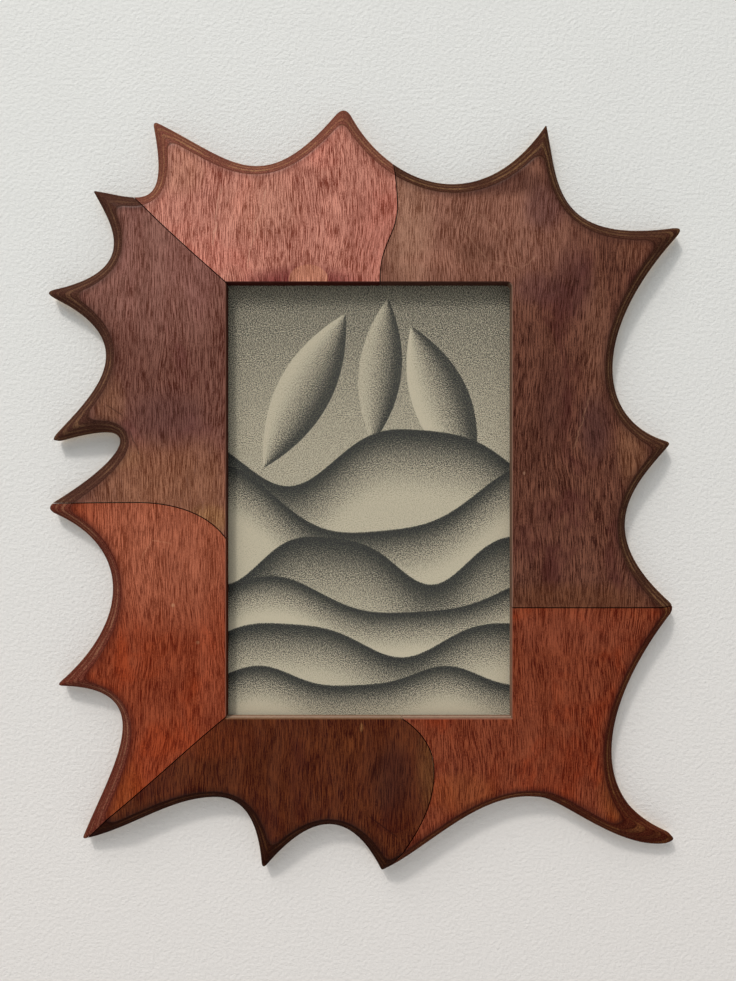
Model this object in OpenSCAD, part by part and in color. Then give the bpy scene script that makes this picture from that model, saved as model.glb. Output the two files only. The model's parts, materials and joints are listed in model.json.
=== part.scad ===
// Sunburst picture frame: six stained plywood panels, edge-jointed, with a spiked outline
// and a bevelled edge that shows the plies. Millimetres, +Z up, the front faces -Y.
// The origin lies midway between the two keyhole entries, on the back face of the panels.

/* [Opening] */
// Width of the sight opening
sight_w = 200; // [160:1:260]
// Height of the sight opening
sight_h = 305; // [240:1:380]
// Radius of the inner corner cut in the right panel
corner_r = 3.5; // [1:0.5:8]
// Width of the softened edge round the sight opening
sight_arris = 0.6; // [0.3:0.1:1.5]
// How far the rebate reaches beyond the sight edge
rebate_in = 7; // [5:0.5:10]

/* [Panels] */
// Thickness of the plywood
board_t = 15; // [14:0.5:22]
// Width of the bevel round the outline, seen from the front
edge_in = 9; // [7:0.5:10]
// Depth of the bevel
edge_deep = 9; // [5:0.5:11]
// How much the bevel bellies out, 0 is flat
edge_belly = 0.48; // [0:0.02:0.8]
// Share of their wear that the spikes' tips show
tip_wear = 1; // [0.5:0.05:1.1]
// Radius of the ridge that runs out to each spike
ridge_r = 5; // [3:0.5:6]
// How far the flat face sits to the right of the outline, which leaves a wider bevel on the left
face_aside = 0.4; // [-1:0.1:1]
// How far the flat face sits below the outline, which leaves a wider bevel at the top
face_down = 1.3; // [-1.5:0.1:1.5]

/* [Picture pack] */
// Thickness of the glazing
glazing_t = 2; // [1.5:0.1:3]
// Thickness of the picture sheet
sheet_t = 0.3; // [0.2:0.1:0.8]
// Thickness of the barrier card
card_t = 0.7; // [0.5:0.1:1.5]
// Thickness of the backing board
backing_t = 3; // [2:0.1:4]
// Gap round the edges of the pack in the rebate
pack_gap = 0.7; // [0.3:0.1:1]

/* [Tenons] */
// Length of a loose tenon across the joint
tenon_l = 30; // [20:1:34]
// Width of a loose tenon along the joint
tenon_w = 18; // [12:1:20]
// Thickness of a loose tenon
tenon_t = 5; // [4:0.5:6]
// Clearance of a tenon in its mortise, all round
tenon_gap = 0.1; // [0.05:0.05:0.2]

/* [Turn buttons] */
// Distance of a button's pivot from the rebate
button_in = 8; // [7:0.5:12]
// Length from the pivot to the middle of the rounded tip
button_l = 20; // [16:0.5:24]
// Radius at the pivot
button_r = 5.5; // [4.5:0.5:6.5]
// Radius at the tip
button_tip_r = 3.5; // [2.5:0.5:4]
// Thickness of a button
button_t = 1.2; // [0.8:0.1:1.3]
// Gap between a button and the back face, and under the screw head
button_gap = 0.05; // [0.05:0.01:0.1]
// Distance of the top and bottom buttons from the rebate's corners
button_from_side = 37; // [27:1:52]
// Distance of the side buttons from the rebate's corners
button_from_end = 59.5; // [40:0.5:74]

/* [Screws] */
// Radius of a screw's shank
screw_r = 1.5; // [1.2:0.1:1.8]
// Length of the screw below its head
screw_l = 11; // [8:0.5:12]
// Radius of a screw's head
head_r = 3; // [2.6:0.1:3.4]
// Height of a pan head
head_t = 1.5; // [1.2:0.1:1.6]
// Clearance of a shank in its hole
screw_gap = 0.08; // [0.05:0.01:0.1]

/* [Hanging] */
// Distance between the two hanging plates
hang_spacing = 200; // [190:1:210]
// Height of the keyhole entries above the sight edge
hang_up = 37.5; // [34:0.5:42]
// Width of a hanging plate
plate_w = 16; // [14:0.5:18]
// Length between the plate's screws
plate_pitch = 34; // [32:0.5:38]
// Thickness of a hanging plate
plate_t = 1.5; // [1.2:0.1:2]
// Radius of the keyhole's entry
entry_r = 4.5; // [4:0.1:5]
// Width of the keyhole's slot
slot_w = 4.6; // [4:0.1:5]
// Length of the slot above the entry
slot_l = 9; // [8:0.5:10]
// Depth of the pocket behind the plate
pocket_deep = 5; // [4:0.5:6]
// Radius of a wall bumper
bumper_r = 6; // [4:0.5:8]
// Thickness of a wall bumper
bumper_t = 3; // [3:0.1:5]

/* [Hidden] */

// Half the opening for which the outline and the joints below were drawn
drawn_w = 100;
drawn_h = 152.5;
// Cutters run this far past what they cut
past = 1;
rebate_deep = glazing_t + sheet_t + card_t + backing_t;
rebate_w = sight_w / 2 + rebate_in;
rebate_h = sight_h / 2 + rebate_in;
hang_z = sight_h / 2 + hang_up;

// The outline is drawn clockwise from the upper left spike, seen from the front, in
// millimetres from the middle of the opening. Each row is one scallop: the tip of its
// spike and then the handles and valleys that lead to the next tip.
scallops = [
  [[-154, 270], [-97, 243], [-76, 208]],
  [[-17, 282], [6, 228], [76, 193]],
  [[126, 267], [135, 228], [128, 178]],
  [[226, 195], [156, 123], [159, 55]],
  [[215, 41], [191, 13], [153, -21]],
  [[218, -76], [174, -130], [141, -213]],
  [[222, -241], [185, -257], [137, -210], [120, -211], [78, -206], [41, -249]],
  [[9, -263], [-19, -207], [-52, -234]],
  [[-76, -263], [-78, -226], [-90, -211], [-109, -211], [-142, -211], [-169, -234]],
  [[-204, -241], [-183, -189], [-143, -131]],
  [[-223, -132], [-168, -87], [-166, -29]],
  [[-232, -6], [-167, 31], [-152, 65]],
  [[-229, 40], [-199, 73], [-150, 112]],
  [[-233, 148], [-155, 161], [-186, 200]],
  [[-196, 220], [-166, 216], [-139, 199]]
];
turns = len(scallops);

// How far from its end the rounding of each worn spike begins, in the same order
wears = [5.5, 12, 1.5, 12, 4, 7, 12, 1.5, 6, 3, 6, 12, 12, 12, 1.5];

// The joints run from inside the opening to beyond the outline, clockwise from upper left
joints = [
  [[-95, 148], [-127, 176], [-148, 195], [-165, 213], [-170, 218], [-175, 223], [-180, 228]],
  [[8, 150], [6, 178], [19, 184], [20, 204], [20, 220], [17, 236], [16, 250]],
  [[95, -75], [140, -75], [185, -75.2], [230, -74.8]],
  [[15, -148], [33, -157], [45.5, -170], [45.5, -190], [45.5, -212], [36, -232], [12, -262]],
  [[-97, -149], [-128, -174], [-150, -196], [-183, -223], [-192, -232], [-201, -241], [-210, -250]],
  [[-96, -34], [-105, -13], [-130, -2], [-160, -1.5], [-187, -1.5], [-213, -2], [-240, -2.5]]
];

// How a value measured from the middle moves out with its side of the opening
function follow(v, half, drawn) =
  abs(v) <= drawn ? v * half / drawn : sign(v) * (half + abs(v) - drawn);
function spread(p) = [follow(p.x, sight_w / 2, drawn_w), follow(p.y, sight_h / 2, drawn_h)];

// Points and directions on a run of cubic curves that share their end points
function blend(p, v) = pow(1 - v, 3) * p[0] + 3 * pow(1 - v, 2) * v * p[1]
  + 3 * (1 - v) * v * v * p[2] + pow(v, 3) * p[3];
function slope(p, v) = pow(1 - v, 2) * (p[1] - p[0]) + 2 * (1 - v) * v * (p[2] - p[1])
  + v * v * (p[3] - p[2]);
function piece(c, t) = min(floor(t * (len(c) - 1) / 3), (len(c) - 1) / 3 - 1);
function four(c, k) = [for (j = [0:3]) c[3 * k + j]];
function on_curve(c, t) =
  let (k = piece(c, t)) blend(four(c, k), t * (len(c) - 1) / 3 - k);
function unit(v) = v / norm(v);
function along(c, t) =
  let (k = piece(c, t)) unit(slope(four(c, k), t * (len(c) - 1) / 3 - k));

// One scallop with its far tip, and the direction from it into the wood
function ring(s) = (s + turns) % turns;
edges = [for (s = [0:turns - 1])
  [for (p = concat(scallops[s], [scallops[ring(s + 1)][0]])) spread(p)]];
function rim(s, t) = on_curve(edges[ring(s)], t);
function inward(s, t) = let (d = along(edges[ring(s)], t)) [d.y, -d.x];

// The worn end of a spike is one curve from side to side, drawn towards its sharp tip
function speed(s, end) =
  let (c = edges[ring(s)], n = len(c))
  (n - 1) * norm(end == 0 ? c[1] - c[0] : c[n - 1] - c[n - 2]);
function off_tip(s, end, u) = rim(s, abs(end - u / speed(s, end)));
function worn(s, end, u, wear) =
  let (
    v = (1 + u / wear) / 2,
    far = off_tip(end == 0 ? s - 1 : s + 1, 1 - end, wear)
  )
  pow(1 - v, 2) * far + 2 * v * (1 - v) * rim(s, end) + v * v * off_tip(s, end, wear);
function outline(s, t) =
  let (
    a = t * speed(s, 0),
    b = (1 - t) * speed(s, 1),
    first = tip_wear * wears[ring(s)],
    last = tip_wear * wears[ring(s + 1)]
  )
  a < first ? worn(s, 0, a, first) : b < last ? worn(s, 1, b, last) : rim(s, t);

// The ridge of a spike starts where a curve this far inside one scallop is as far from
// the next one. It is found by halving the scallop's half that lies next to the tip.
mid_in = edge_in + ridge_r;
looks = 30;
halvings = 12;
function clear_of(s, from, q) =
  min([for (k = [0:looks]) norm(q - rim(s, abs(from - k / looks / 2)))]);
function halve(s, end, lo, hi, n) =
  let (t = (lo + hi) / 2, q = rim(s, t) + mid_in * inward(s, t))
  n == 0 ? t
  : clear_of(end == 0 ? s - 1 : s + 1, 1 - end, q) < mid_in
    ? halve(s, end, t, hi, n - 1) : halve(s, end, lo, t, n - 1);
starts = [for (s = [0:turns - 1]) halve(s, 0, 0, 0.5, halvings)];
stops = [for (s = [0:turns - 1]) halve(s, 1, 1, 0.5, halvings)];
function first_mid(s) = let (t = starts[ring(s)]) rim(s, t) + mid_in * inward(s, t);
function last_mid(s) = let (t = stops[ring(s)]) rim(s, t) + mid_in * inward(s, t);
mids = [for (s = [0:turns - 1]) (first_mid(s) + last_mid(s - 1)) / 2];

// The edge of the flat face: it runs inside each scallop and rounds the foot of each ridge
function turned(a, b) = (b - a + 540) % 360 - 180;
function foot(mid, far, f, tip, out) =
  let (
    a = atan2(tip.y - mid.y, tip.x - mid.x),
    b = atan2(out.y, out.x),
    w = a + turned(a, b) * f
  )
  mid + (far - mid) * f + ridge_r * [cos(w), sin(w)];
function inset(s, t) =
  let (a = starts[ring(s)], b = stops[ring(s)])
  t < a ? foot(mids[ring(s)], first_mid(s), t / a, rim(s, 0), -inward(s, a))
  : t > b ? foot(mids[ring(s + 1)], last_mid(s), (1 - t) / (1 - b), rim(s, 1), -inward(s, b))
  : rim(s, t) + edge_in * inward(s, t);
function flat_edge(s, t) = inset(s, t) + [face_aside, -face_down];

// Bevel: the share of the way from the outline to the flat face, and its height
bevel_steps = 6;
tip_density = 20;
tip_least = 4;
tip_crowd = 1.6;
mid_least = 12;
mid_each = 4;
function tip_steps(span) = max(tip_least, ceil(tip_density * span));
function mid_steps(s) = mid_least + mid_each * len(scallops[ring(s)]) / 3;
function height(f) = board_t - edge_deep * (1 - f) * (1 - edge_belly * f);
function section(s, t) =
  let (outer = outline(s, t), inner = flat_edge(s, t))
  concat(
    [for (k = [0:bevel_steps])
      let (f = 1 - k / bevel_steps, p = outer + (inner - outer) * f)
        [p.x, p.y, height(f)]],
    [[outer.x, outer.y, 0]]
  );
function stations(s) =
  let (
    a = starts[ring(s)],
    b = stops[ring(s)],
    n = tip_steps(a),
    m = mid_steps(s),
    e = tip_steps(1 - b)
  )
  concat(
    [for (k = [0:n - 1]) a * pow(k / n, tip_crowd)],
    [for (k = [0:m]) a + (b - a) * k / m],
    [for (k = [1:e - 1]) 1 - (1 - b) * pow(1 - k / e, tip_crowd)]
  );

// A wedge of the board from one scallop to another, closed at a hub inside the board. Its
// front and its back are one flat face each.
module wedge(from, to, hub) {
  places = concat(
    [for (s = [floor(from):floor(to)]) for (t = stations(s)) if (s + t >= from && s + t <= to) [s, t]],
    [[floor(to), to - floor(to)]]
  );
  n = bevel_steps + 2;
  m = len(places);
  h = spread(hub);
  points = concat(
    [for (q = places) each section(q[0], q[1])],
    [[h.x, h.y, board_t], [h.x, h.y, 0]]
  );
  front = n * m;
  back = n * m + 1;
  faces = concat(
    [concat([front], [for (j = [0:m - 1]) n * j])],
    [for (j = [0:m - 2]) for (k = [0:n - 2]) [n * j + k, n * j + k + 1, n * (j + 1) + k]],
    [for (j = [0:m - 2]) for (k = [0:n - 2]) [n * j + k + 1, n * (j + 1) + k + 1, n * (j + 1) + k]],
    [concat([back], [for (j = [m - 1:-1:0]) n * j + n - 1])],
    [for (k = [0:n - 2]) [front, k + 1, k]],
    [[front, back, n - 1]],
    [for (k = [0:n - 2]) [front, n * (m - 1) + k, n * (m - 1) + k + 1]],
    [[front, n * m - 1, back]]
  );
  polyhedron(points, faces, convexity = 10);
}

// The flat board round the opening, which every wedge joins
flat_in = 38;
module flat_board() {
  translate([-sight_w / 2 - flat_in, -sight_h / 2 - flat_in, 0])
    cube([sight_w + 2 * flat_in, sight_h + 2 * flat_in, board_t]);
}

// The side of a joint on which a panel lies, as an outline that runs past the board
joint_steps = 7;
function joint(j) =
  let (c = [for (p = joints[j]) spread(p)], n = joint_steps * (len(c) - 1) / 3)
  [for (k = [0:n]) on_curve(c, k / n)];
function reversed(a) = [for (k = [len(a) - 1:-1:0]) a[k]];
function last_turn(c) = let (e = c[len(c) - 1]) atan2(e.y, e.x);
far_out = sight_w + sight_h + 100;
far_steps = 5;
module region(j) {
  here = joint(j);
  next = joint((j + 1) % len(joints));
  a = last_turn(here);
  w = turned(a, last_turn(next));
  translate([0, 0, -past])
    linear_extrude(board_t + 2 * past)
      polygon(concat(
        here,
        [for (k = [0:far_steps]) far_out * [cos(a + w * k / far_steps), sin(a + w * k / far_steps)]],
        reversed(next)
      ));
}

// Loose tenons: which joint, the share of the way along it
tenon_places = [[0, 0.24], [1, 0.42], [2, 0.36], [3, 0.5], [4, 0.26], [5, 0.46]];
tenon_z = (board_t - tenon_t) / 2;
module at_tenon(k) {
  c = [for (p = joints[tenon_places[k][0]]) spread(p)];
  t = tenon_places[k][1];
  p = on_curve(c, t);
  d = along(c, t);
  translate([p.x, p.y, tenon_z])
    rotate([0, 0, atan2(d.y, d.x)])
      children();
}
module tenon_block(l, w, t) {
  translate([-(w - t) / 2, -l / 2, 0])
    cube([w - t, l, t]);
  for (side = [-1, 1])
    translate([side * (w - t) / 2, l / 2, t / 2])
      rotate([90, 0, 0])
        cylinder(h = l, d = t, $fn = 24);
}
module mortise(k) {
  at_tenon(k)
    translate([0, 0, -tenon_gap])
      tenon_block(tenon_l + 2 * tenon_gap, tenon_w + 2 * tenon_gap, tenon_t + 2 * tenon_gap);
}

// Where the buttons turn: place of the pivot and the way the arm points at rest
button_x = rebate_w - button_from_side;
button_z = rebate_h - button_from_end;
buttons = [
  [-button_x, rebate_h + button_in, 270],
  [button_x, rebate_h + button_in, 270],
  [rebate_w + button_in, button_z, 180],
  [rebate_w + button_in, -button_z, 180],
  [button_x, -rebate_h - button_in, 90],
  [-button_x, -rebate_h - button_in, 90],
  [-rebate_w - button_in, -button_z, 0],
  [-rebate_w - button_in, button_z, 0]
];
bumpers = [[-60, 205], [60, 205], [150, -165], [-150, -165]];
pan_deep = screw_l - button_t - 2 * button_gap;

// Hanging plate seen from the back, its keyhole entry at the origin
plate_mid = 3;
recess_gap = 0.1;
module plate_shape(grow) {
  translate([-plate_w / 2 - grow, plate_mid - plate_pitch / 2])
    square([plate_w + 2 * grow, plate_pitch]);
  for (side = [-1, 1])
    translate([0, plate_mid + side * plate_pitch / 2])
      circle(r = plate_w / 2 + grow, $fn = 40);
}
module keyhole_shape(entry, slot) {
  circle(r = entry, $fn = 40);
  translate([-slot, 0])
    square([2 * slot, slot_l]);
  translate([0, slot_l])
    circle(r = slot, $fn = 32);
}
module at_plates() {
  for (side = [-1, 1])
    translate([side * hang_spacing / 2, hang_z, 0])
      children();
}
module at_plate_screws() {
  for (side = [-1, 1])
    translate([0, plate_mid + side * plate_pitch / 2, 0])
      children();
}
pocket_r = entry_r + 1;

// Everything that is cut into the joined panels
module sight_cut() {
  translate([0, 0, -past])
    linear_extrude(board_t + 2 * past)
      difference() {
        square([sight_w, sight_h], center = true);
        translate([sight_w / 2 - corner_r, sight_h / 2 - corner_r])
          difference() {
            square(corner_r + past);
            circle(r = corner_r, $fn = 48);
          }
      }
  for (side = [-1, 1]) {
    translate([side * sight_w / 2, 0, board_t])
      rotate([0, 45, 0])
        cube([sight_arris * sqrt(2), sight_h - 2 * corner_r, sight_arris * sqrt(2)], center = true);
    translate([0, side * sight_h / 2, board_t])
      rotate([45, 0, 0])
        cube([sight_w - 2 * corner_r, sight_arris * sqrt(2), sight_arris * sqrt(2)], center = true);
  }
}
module rebate_cut() {
  translate([-rebate_w, -rebate_h, -past])
    cube([2 * rebate_w, 2 * rebate_h, rebate_deep + past]);
}
module hanging_cut() {
  at_plates() {
    translate([0, 0, -past])
      linear_extrude(plate_t + past)
        plate_shape(recess_gap);
    linear_extrude(plate_t + pocket_deep)
      keyhole_shape(pocket_r, pocket_r);
    at_plate_screws()
      cylinder(h = screw_l + screw_gap, r = screw_r + screw_gap, $fn = 24);
  }
}
module button_holes(list) {
  for (k = list)
    translate([buttons[k][0], buttons[k][1], -past])
      cylinder(h = pan_deep + screw_gap + past, r = screw_r + screw_gap, $fn = 24);
}

// From the board's own frame, its back face at zero, to where it hangs
module hung() {
  translate([0, 0, -hang_z])
    rotate([90, 0, 0])
      children();
}

// One panel: a wedge of the board, cut off at joint j and the next one, with its cuts. The
// wedge runs from one place on the outline to another, each a scallop and a share of it.
module panel(from, to, hub, j, holes) {
  hung()
    difference() {
      intersection() {
        union() {
          wedge(from, to, hub);
          flat_board();
        }
        region(j);
      }
      sight_cut();
      rebate_cut();
      mortise(j);
      mortise((j + 1) % len(joints));
      button_holes(holes);
      children();
    }
}

module top_panel() {
  color([0.60, 0.20, 0.16])
    panel(from = 14, to = 16.6, hub = [0, 0], j = 0, holes = [0])
      hanging_cut();
}
module right_panel() {
  color([0.33, 0.17, 0.13])
    panel(from = 1, to = 5.4, hub = [15, 30], j = 1, holes = [1, 2])
      hanging_cut();
}
module lower_right_panel() {
  color([0.62, 0.22, 0.10])
    panel(from = 4.3, to = 7.4, hub = [60, -160], j = 2, holes = [3, 4]);
}
module bottom_panel() {
  color([0.27, 0.13, 0.06])
    panel(from = 6.5, to = 9.5, hub = [-40, -60], j = 3, holes = [5]);
}
module lower_left_panel() {
  color([0.62, 0.22, 0.10])
    panel(from = 8.5, to = 11.5, hub = [-60, -20], j = 4, holes = [6]);
}
module upper_left_panel() {
  color([0.36, 0.18, 0.14])
    panel(from = 10.5, to = 15.4, hub = [25, 130], j = 5, holes = [7]);
}

module loose_tenon(k) {
  color([0.80, 0.66, 0.46])
    hung()
      at_tenon(k)
        tenon_block(tenon_l, tenon_w, tenon_t);
}
module tenon_upper_left() {
  loose_tenon(0);
}
module tenon_top() {
  loose_tenon(1);
}
module tenon_right() {
  loose_tenon(2);
}
module tenon_bottom() {
  loose_tenon(3);
}
module tenon_lower_left() {
  loose_tenon(4);
}
module tenon_left() {
  loose_tenon(5);
}

// The picture pack lies in the rebate, counted back from the lip
module pack_layer(top, t) {
  hung()
    translate([pack_gap - rebate_w, pack_gap - rebate_h, top - t])
      cube([2 * (rebate_w - pack_gap), 2 * (rebate_h - pack_gap), t]);
}
module glazing() {
  color([0.80, 0.88, 0.90, 0.4])
    pack_layer(rebate_deep, glazing_t);
}
module picture_sheet() {
  color([0.85, 0.83, 0.76])
    pack_layer(rebate_deep - glazing_t, sheet_t);
}
module barrier_card() {
  color([0.93, 0.92, 0.88])
    pack_layer(card_t + backing_t, card_t);
}
module backing_board() {
  color([0.45, 0.31, 0.20])
    pack_layer(backing_t, backing_t);
}

// A turn button, flat on the back face, pointing along +X from its pivot
module button_arm() {
  lean = asin((button_r - button_tip_r) / button_l);
  linear_extrude(button_t)
    polygon([
      [0, button_r * cos(lean)],
      [button_l, button_tip_r * cos(lean)],
      [button_l, -button_tip_r * cos(lean)],
      [0, -button_r * cos(lean)]
    ]);
}
module turn_button(k) {
  color([0.72, 0.72, 0.70])
    hung()
      translate([buttons[k][0], buttons[k][1], -button_gap - button_t])
        rotate([0, 0, buttons[k][2]])
          difference() {
            union() {
              button_arm();
              cylinder(h = button_t, r = button_r, $fn = 48);
              translate([button_l, 0, 0])
                cylinder(h = button_t, r = button_tip_r, $fn = 32);
            }
            translate([0, 0, -past])
              cylinder(h = button_t + 2 * past, r = screw_r + screw_gap, $fn = 24);
          }
}
module turn_button_top_left() {
  turn_button(0);
}
module turn_button_top_right() {
  turn_button(1);
}
module turn_button_right_upper() {
  turn_button(2);
}
module turn_button_right_lower() {
  turn_button(3);
}
module turn_button_bottom_right() {
  turn_button(4);
}
module turn_button_bottom_left() {
  turn_button(5);
}
module turn_button_left_lower() {
  turn_button(6);
}
module turn_button_left_upper() {
  turn_button(7);
}

// Screws, their heads below and their shanks pointing up into the board
cross_w = 0.8;
cross_deep = 0.8;
cross_reach = 0.55;
head_taper = 0.8;
module cross_slot(r) {
  for (a = [0, 90])
    rotate([0, 0, a])
      translate([-r, -cross_w / 2, -past])
        cube([2 * r, cross_w, cross_deep + past]);
}
module pan_screw() {
  difference() {
    union() {
      cylinder(h = head_t / 2, r1 = head_r * head_taper, r2 = head_r, $fn = 32);
      translate([0, 0, head_t / 2])
        cylinder(h = head_t / 2, r = head_r, $fn = 32);
      translate([0, 0, head_t])
        cylinder(h = screw_l, r = screw_r, $fn = 24);
    }
    cross_slot(head_r * cross_reach);
  }
}
module turn_button_screws() {
  color([0.78, 0.70, 0.48])
    hung()
      for (b = buttons)
        translate([b[0], b[1], -button_t - 2 * button_gap - head_t])
          pan_screw();
}
module sunk_screw() {
  difference() {
    union() {
      cylinder(h = head_r - screw_r, r1 = head_r, r2 = screw_r, $fn = 32);
      cylinder(h = screw_l, r = screw_r, $fn = 24);
    }
    cross_slot(head_r * cross_reach);
  }
}
module hanger_screws() {
  color([0.78, 0.70, 0.48])
    hung()
      at_plates()
        at_plate_screws()
          sunk_screw();
}
module hanger_plate(side) {
  color([0.74, 0.74, 0.72])
    hung()
      translate([side * hang_spacing / 2, hang_z, 0])
        difference() {
          linear_extrude(plate_t)
            difference() {
              plate_shape(0);
              keyhole_shape(entry_r, slot_w / 2);
            }
          at_plate_screws()
            translate([0, 0, -past]) {
              cylinder(h = plate_t + 2 * past, r = screw_r + screw_gap, $fn = 24);
              cylinder(h = head_r - screw_r + past, r1 = head_r + past + screw_gap,
                r2 = screw_r + screw_gap, $fn = 32);
            }
        }
}
module hanger_plate_left() {
  hanger_plate(-1);
}
module hanger_plate_right() {
  hanger_plate(1);
}
module wall_bumpers() {
  color([0.16, 0.16, 0.16])
    hung()
      for (b = bumpers)
        translate([spread(b).x, spread(b).y, -bumper_t])
          cylinder(h = bumper_t, r = bumper_r, $fn = 40);
}

top_panel();
right_panel();
lower_right_panel();
bottom_panel();
lower_left_panel();
upper_left_panel();
tenon_upper_left();
tenon_top();
tenon_right();
tenon_bottom();
tenon_lower_left();
tenon_left();
glazing();
picture_sheet();
barrier_card();
backing_board();
turn_button_top_left();
turn_button_top_right();
turn_button_right_upper();
turn_button_right_lower();
turn_button_bottom_right();
turn_button_bottom_left();
turn_button_left_lower();
turn_button_left_upper();
turn_button_screws();
hanger_plate_left();
hanger_plate_right();
hanger_screws();
wall_bumpers();
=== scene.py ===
"""Sunburst picture frame: six stained plywood panels with a spiked outline and a bevelled ply edge.

The shapes are drawn in millimetres on the board: x to the right and y up from the middle of its opening,
and z from its back face towards the viewer. hung() and the board's tree take them to the row's frame.
"""

import json
from collections import namedtuple
from functools import partial, partialmethod
from math import atan2, ceil, cos, hypot, pi, radians, sin

import bmesh
import bpy
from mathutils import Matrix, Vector, kdtree

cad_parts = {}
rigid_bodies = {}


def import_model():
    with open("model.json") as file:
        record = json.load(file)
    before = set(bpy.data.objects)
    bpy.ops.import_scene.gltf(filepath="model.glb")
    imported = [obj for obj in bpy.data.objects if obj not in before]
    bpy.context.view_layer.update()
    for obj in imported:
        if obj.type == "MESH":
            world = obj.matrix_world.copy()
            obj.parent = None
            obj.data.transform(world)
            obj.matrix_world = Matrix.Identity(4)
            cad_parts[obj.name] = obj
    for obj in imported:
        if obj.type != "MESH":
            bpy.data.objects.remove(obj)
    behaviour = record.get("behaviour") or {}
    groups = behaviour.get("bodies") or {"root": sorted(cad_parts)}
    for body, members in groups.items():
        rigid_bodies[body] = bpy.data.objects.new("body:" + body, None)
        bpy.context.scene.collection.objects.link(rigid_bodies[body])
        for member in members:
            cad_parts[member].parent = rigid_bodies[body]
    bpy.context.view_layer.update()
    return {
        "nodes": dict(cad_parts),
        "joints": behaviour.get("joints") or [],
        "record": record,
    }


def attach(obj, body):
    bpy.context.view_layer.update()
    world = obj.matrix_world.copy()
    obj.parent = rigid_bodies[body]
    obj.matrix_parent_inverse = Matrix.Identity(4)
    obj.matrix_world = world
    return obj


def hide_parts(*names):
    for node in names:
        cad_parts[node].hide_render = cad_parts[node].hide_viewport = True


bl_info = {
    "name": "Sunburst picture frame",
    "version": (1, 0, 0),
    "blender": (4, 5, 0),
    "location": "View3D > Sidebar > Frame",
    "description": "Builds a spiked plywood picture frame around its packed solids",
    "category": "Object",
}

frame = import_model()
SLOTS = {part["node"]: part["material_slot"] for part in frame["record"]["subparts"]}
MM = 0.001

# The opening, how far it hangs below the origin, and the front face's height, where depth starts
SIGHT_W = 200.0
SIGHT_H = 305.0
REBATE_IN = 7.0
REBATE_DEEP = 6.0
CORNER_R = 3.5
SHARP_R = 0.05
SIGHT_ARRIS = 0.6
HANG_DROP = 190.0
FRONT = 15.0

# The hanging plates' recesses, and the pockets behind their keyholes
PLATE_X = 100.0
PLATE_R, PLATE_BELOW, PLATE_ABOVE, PLATE_DEEP, PLATE_SCREWS = 8.1, 14.0, 20.0, 1.5, 17.0
POCKET_R, POCKET_ABOVE, POCKET_DEEP = 5.5, 9.0, 6.5

# One row for each scallop: the tip of its spike, then handles and valleys up to the next tip
SCALLOPS = (
    ((-154, 270), (-97, 243), (-76, 208)),
    ((-17, 282), (6, 228), (76, 193)),
    ((126, 267), (135, 228), (128, 178)),
    ((226, 195), (156, 123), (159, 55)),
    ((215, 41), (191, 13), (153, -21)),
    ((218, -76), (174, -130), (141, -213)),
    ((222, -241), (185, -257), (137, -210), (120, -211), (78, -206), (41, -249)),
    ((9, -263), (-19, -207), (-52, -234)),
    ((-76, -263), (-78, -226), (-90, -211), (-109, -211), (-142, -211), (-169, -234)),
    ((-204, -241), (-183, -189), (-143, -131)),
    ((-223, -132), (-168, -87), (-166, -29)),
    ((-232, -6), (-167, 31), (-152, 65)),
    ((-229, 40), (-199, 73), (-150, 112)),
    ((-233, 148), (-155, 161), (-186, 200)),
    ((-196, 220), (-166, 216), (-139, 199)),
)
# How far from its end each spike is worn round
WEARS = (5.5, 12, 1.5, 12, 4, 7, 12, 1.5, 6, 3, 6, 12, 12, 12, 1.5)
# The flat face is free of the bevel at this share of a ridge's radius inside its edge
FLAT_AT = 0.8
FEWEST_FACES = 100

# The joints run from inside the opening to beyond the outline, clockwise from upper left
JOINTS = (
    ((-95, 148), (-127, 176), (-148, 195), (-165, 213), (-170, 218), (-175, 223), (-180, 228)),
    ((8, 150), (6, 178), (19, 184), (20, 204), (20, 220), (17, 236), (16, 250)),
    ((95, -75), (140, -75), (185, -75.2), (230, -74.8)),
    ((15, -148), (33, -157), (45.5, -170), (45.5, -190), (45.5, -212), (36, -232), (12, -262)),
    ((-97, -149), (-128, -174), (-150, -196), (-183, -223), (-192, -232), (-201, -241), (-210, -250)),
    ((-96, -34), (-105, -13), (-130, -2), (-160, -1.5), (-187, -1.5), (-213, -2), (-240, -2.5)),
)
# The joints' cutters reach this far from the middle, and this far past a joint at the back
BEYOND = 600.0
OVERLAP = 0.01

# Screws: profiles from the middle of the head down to the tip, as radius and height
PAN_HEAD = ((0, 0), (0.9, 0.03), (1.8, 0.16), (2.5, 0.45), (2.86, 0.8), (3.0, 1.15), (3.0, 1.5), (1.5, 1.5))
PAN_HEAD += ((1.5, 9.5), (0.9, 11.5), (0.0, 12.5))
COUNTERSUNK = ((0, 0), (2.9, 0.0), (3.0, 0.1), (1.6, 1.5), (1.5, 1.6), (1.5, 9.0), (0.9, 10.5), (0.0, 11.0))
BUTTON_T, BUTTON_GAPS, PAN_HEAD_T = 1.2, 0.1, 1.5
CROSS_ARM, CROSS_HALF, CROSS_TOP = 1.7, 0.32, 0.2


# ---- node trees


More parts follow.
